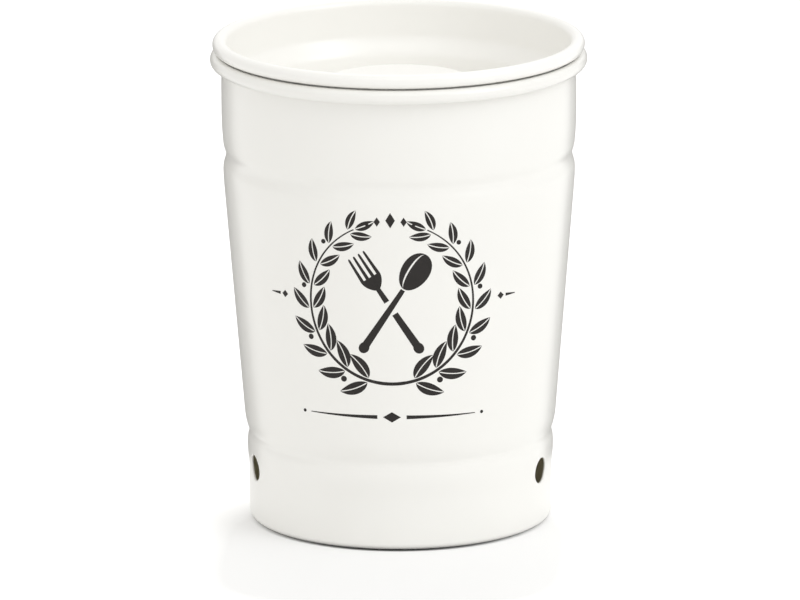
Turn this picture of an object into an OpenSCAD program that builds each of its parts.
// Garlic keeper: a tapered sheet-steel pot with vent holes and a deep lid that lifts off.
// The origin is the centre of the ring that the pot stands on. +Z is up and -Y is the front.

/* [Pot] */
// Height of the pot to the top of its curled rim
pot_h = 164.1; // [140:0.1:190]
// Outside diameter over the curled rim
rim_d = 130; // [126:0.5:134]
// Diameter of the curl along the rim
curl_d = 4.8; // [4.4:0.1:5.2]
// How far the curl stands out beyond the neck
curl_overhang = 3.8; // [3.5:0.05:4.1]
// Outside diameter of the straight band above the foot
foot_d = 105; // [102:0.2:110]
// Rounding of the wall into the foot
foot_round = 2.4; // [1.6:0.1:3]
// Width of the flat ring that the wall turns in under the pot
foot_ring = 3.2; // [2.4:0.1:4.5]
// Thickness of the sheet steel
sheet_t = 0.8; // [0.6:0.05:0.9]

/* [Rolled grooves] */
// Height of the lower groove
low_groove_z = 30.6; // [29:0.1:33]
// How far the upper groove lies below the pot's rim
top_groove_drop = 35.3; // [28:0.1:50]
// Depth of each groove below the wall above it
groove_depth = 1.45; // [1.1:0.05:1.6]
// How far the wall swells out again below the lower groove
low_swell = 0.55; // [0.4:0.05:0.8]
// How far the wall swells out again below the upper groove
top_swell = 0.95; // [0.7:0.05:1.1]

/* [Vent holes] */
// Diameter of each vent hole
vent_d = 9; // [6:0.25:9.5]
// Height of the vent holes
vent_z = 20; // [18:0.5:20.5]
// Angle between the front and the nearer vent holes
vent_angle = 70; // [55:1:80]

/* [Base] */
// Height of the floor inside the pot
floor_z = 4.8; // [4:0.1:7]
// Rounding of the base pan's edge
pan_round = 1.8; // [1.4:0.1:2.2]

/* [Lid] */
// Diameter of the roll along the lid's edge
roll_d = 4.8; // [4.4:0.1:5.4]
// How far the lid's roll lies inside the pot's rim, seen from above
lid_inset = 0.85; // [0.6:0.05:1.2]
// Gap between the lid's roll and the pot's rim
seat_gap = 0.5; // [0.3:0.05:0.6]
// Depth of the step in the lid's wall below the lid's top
step_depth = 16; // [15:0.2:18]
// How far the wall steps in
step_in = 3.6; // [2:0.1:5]
// Depth of the lid's floor below the lid's top
dish_depth = 27; // [26:0.5:34]
// Rounding of the lid's wall into its floor
dish_round = 4; // [2:0.1:4.5]

/* [Knob] */
// Diameter of the knob
knob_d = 51.5; // [40:0.5:56]
// Depth of the knob's top below the lid's top
knob_drop = 15.4; // [13:0.1:17]
// Rounding of the knob's top edge
knob_round = 1.2; // [1:0.1:2]
// Thickness of the knob's sheet
knob_t = 0.9; // [0.6:0.05:0.9]
// Diameter of the threaded bush inside the knob
bush_d = 10; // [8:0.5:14]
// Diameter of the screw that holds the knob
screw_d = 4; // [3:0.5:5]

/* [Hidden] */
$fn = 144;
enamel = "#f7f6f1";
steel = "#a9abad";
running_gap = 0.05;

// Pot: radii of the outside of the sheet
curl_r = curl_d / 2;
curl_z = pot_h - curl_r;
curl_c = rim_d / 2 - curl_r;
curl_end = -112;
neck_r = rim_d / 2 - curl_overhang;
foot_r = foot_d / 2;
heel_r = foot_r - foot_round;
shoulder_z = curl_z - 10;
top_groove_z = pot_h - top_groove_drop;

// Grooves: the flanks below and above the bottom. A flank is the place of its steepest point,
// the share of the depth reached there, the slope there and the share reached at its far end.
low_flank = [1.3, 0.16, 0.36, 0.88];
top_flank = [2.1, 0.33, 0.32, 0.78];
flank_swell = 5.2;
flank_far = 7;
flank_fade = 13;

// The straight cone between the grooves
cone_low_z = low_groove_z + flank_far;
cone_low_r = foot_r + groove_depth;
cone_top_z = top_groove_z - 12;
cone_top_r = neck_r - groove_depth + top_swell - 0.35;
cone_slope = (cone_top_r - cone_low_r) / (cone_top_z - cone_low_z);

// Lid
roll_r = roll_d / 2;
roll_c = rim_d / 2 - lid_inset - roll_r;
seat_reach = curl_r + roll_r + seat_gap;
roll_z = curl_z + sqrt(pow(seat_reach, 2) - pow(curl_c - roll_c, 2));
roll_end = -122;
lid_top = roll_z + roll_r;
lid_wall_r = roll_c - roll_r;
lid_pass_gap = 0.35;
lid_pass_r = curl_c - curl_r - lid_pass_gap - sheet_t;
lid_lean = 0.4;
step_half = 3.8;
step_z = lid_top - step_depth;
step_top_r = lid_pass_r - lid_lean;
step_low_r = step_top_r - step_in;
lid_floor_z = lid_top - dish_depth;
lid_under_z = lid_floor_z - sheet_t;

// Knob and what holds it
knob_r = knob_d / 2;
knob_z = lid_top - knob_drop;
screw_hole_d = screw_d + 0.8;
washer_d = 2.75 * screw_d;
washer_t = 0.9;
head_d = 2 * screw_d;
head_h = 0.65 * screw_d;
head_round = 0.28 * screw_d;
slot_w = 0.25 * screw_d;
slot_h = 0.3 * screw_d;
tip_gap = 1.5;

// Points along an arc, from angle a0 to angle a1
function arc(c, r, a0, a1, n = 12) =
    [for (i = [0:n]) let(a = a0 + (a1 - a0) * i / n) c + r * [cos(a), sin(a)]];

// Points of a smooth curve from station a up to station b, without its last point.
// A station is [height, radius, slope].
function rise(a, b, n = 8) = [for (i = [0:n - 1])
    let(t = i / n, h = b[0] - a[0])
    [(1 + 2 * t) * pow(1 - t, 2) * a[1] + t * t * (3 - 2 * t) * b[1]
        + h * t * (1 - t) * ((1 - t) * a[2] - t * b[2]), a[0] + h * t]];

// Smooth curve through a list of stations, without its last point
function through(s) = [for (i = [0:len(s) - 2]) for (p = rise(s[i], s[i + 1])) p];

// Unit vector across a path at point i, to the left of the way the path runs
function across(path, i) =
    let(d = path[min(i + 1, len(path) - 1)] - path[max(i - 1, 0)]) [-d[1], d[0]] / norm(d);

// Outline of a sheet of thickness t on the left of a path
function sheet(path, t) =
    concat(path, [for (i = [len(path) - 1:-1:0]) path[i] + t * across(path, i)]);

// Stations of a groove: the swell below it, its flanks and its bottom at height z, radius r
function groove(z, r, flank, swell, depth, slope) = [
    [z - flank_swell, r + swell, 0],
    [z - flank[0], r + flank[1] * swell, -flank[2]],
    [z, r, 0],
    [z + flank[0], r + flank[1] * depth, flank[2]],
    [z + flank_far, r + flank[3] * depth, slope]];

// Outside of the pot's wall, from the foot to the curl
wall_stations = concat(
    [[foot_round, foot_r, 0], [low_groove_z - 2 * flank_far, foot_r, 0]],
    groove(low_groove_z, foot_r, low_flank, low_swell, groove_depth / low_flank[3], cone_slope),
    [[cone_top_z, cone_top_r, cone_slope]],
    groove(top_groove_z, neck_r - groove_depth, top_flank, top_swell, groove_depth, cone_slope),
    [[top_groove_z + flank_fade, neck_r - 0.05, 0.02], [shoulder_z, neck_r, 0.01],
     [curl_z, curl_c - curl_r + sheet_t, 0]]);

// Inside of the lid's wall, from its floor to its roll
lid_stations = [
    [lid_floor_z + dish_round, step_low_r - lid_lean, 0],
    [step_z - step_half, step_low_r, 0.1],
    [step_z + step_half, step_top_r, 0.08],
    [curl_z, lid_pass_r, 0.07],
    [roll_z, lid_wall_r, 0]];

// Rolled sheet wall with two grooves, a curled rim, a turned-in foot ring and vent holes
module body_wall() {
    outline = concat(
        [[heel_r - foot_ring, 0]],
        arc([heel_r, foot_round], foot_round, -90, -6),
        through(wall_stations),
        arc([curl_c, curl_z], curl_r - sheet_t, 180, curl_end, 32));
    color(enamel)
    difference() {
        rotate_extrude() polygon(sheet(outline, sheet_t));
        for (side = [-1, 1])
            for (a = [vent_angle, 180 - vent_angle])
                rotate([0, 0, side * a])
                    translate([0, 4 * sheet_t - foot_r, vent_z])
                        rotate([90, 0, 0]) cylinder(d = vent_d, h = 8 * sheet_t);
    }
}

// Raised floor whose skirt stands on the wall's foot ring
module base_pan() {
    pan_r = heel_r - running_gap;
    outline = concat(
        [[pan_r, sheet_t]],
        arc([pan_r - pan_round, floor_z - pan_round], pan_round, 0, 90),
        [[0, floor_z]]);
    color(enamel) rotate_extrude() polygon(sheet(outline, sheet_t));
}

// Deep pressed lid with a rolled edge, a stepped wall and a hole for the knob's screw
module lid_dish() {
    outline = concat(
        [[screw_hole_d / 2, lid_floor_z]],
        arc([step_low_r - lid_lean - dish_round, lid_floor_z + dish_round], dish_round, -90, -6),
        through(lid_stations),
        arc([roll_c, roll_z], roll_r, 180, roll_end, 40));
    color(enamel) rotate_extrude() polygon(sheet(outline, -sheet_t));
}

// Flat round knob, pressed from sheet and open below
module lid_knob() {
    outline = concat(
        [[knob_r, lid_floor_z]],
        arc([knob_r - knob_round, knob_z - knob_round], knob_round, 0, 90),
        [[0, knob_z]]);
    color(enamel) rotate_extrude() polygon(sheet(outline, knob_t));
}

// Threaded bush under the knob's top, standing on the lid's floor
module knob_bush() {
    color(steel)
    translate([0, 0, lid_floor_z])
        difference() {
            cylinder(d = bush_d, h = knob_z - knob_t - lid_floor_z);
            translate([0, 0, -1])
                cylinder(d = screw_d + 2 * running_gap, h = knob_z - knob_t - lid_floor_z);
        }
}

// Pan-head screw from below, with a crossed slot
module knob_screw() {
    head_top = lid_under_z - washer_t;
    head_low = head_top - head_h;
    tip_z = knob_z - knob_t - tip_gap - 1;
    outline = concat(
        [[0, tip_z], [0, head_low]],
        arc([head_d / 2 - head_round, head_low + head_round], head_round, -90, 0),
        [[head_d / 2, head_top], [screw_d / 2, head_top], [screw_d / 2, tip_z]]);
    color(steel)
    difference() {
        rotate_extrude() polygon(outline);
        for (a = [0, 90])
            rotate([0, 0, a])
                translate([-head_d / 4, -slot_w / 2, head_low - 1])
                    cube([head_d / 2, slot_w, slot_h + 1]);
    }
}

// Flat washer between the screw's head and the lid
module knob_washer() {
    color(steel)
    translate([0, 0, lid_under_z - washer_t])
        difference() {
            cylinder(d = washer_d, h = washer_t);
            translate([0, 0, -1]) cylinder(d = screw_hole_d, h = washer_t + 2);
        }
}

body_wall();
base_pan();
lid_dish();
lid_knob();
knob_bush();
knob_screw();
knob_washer();
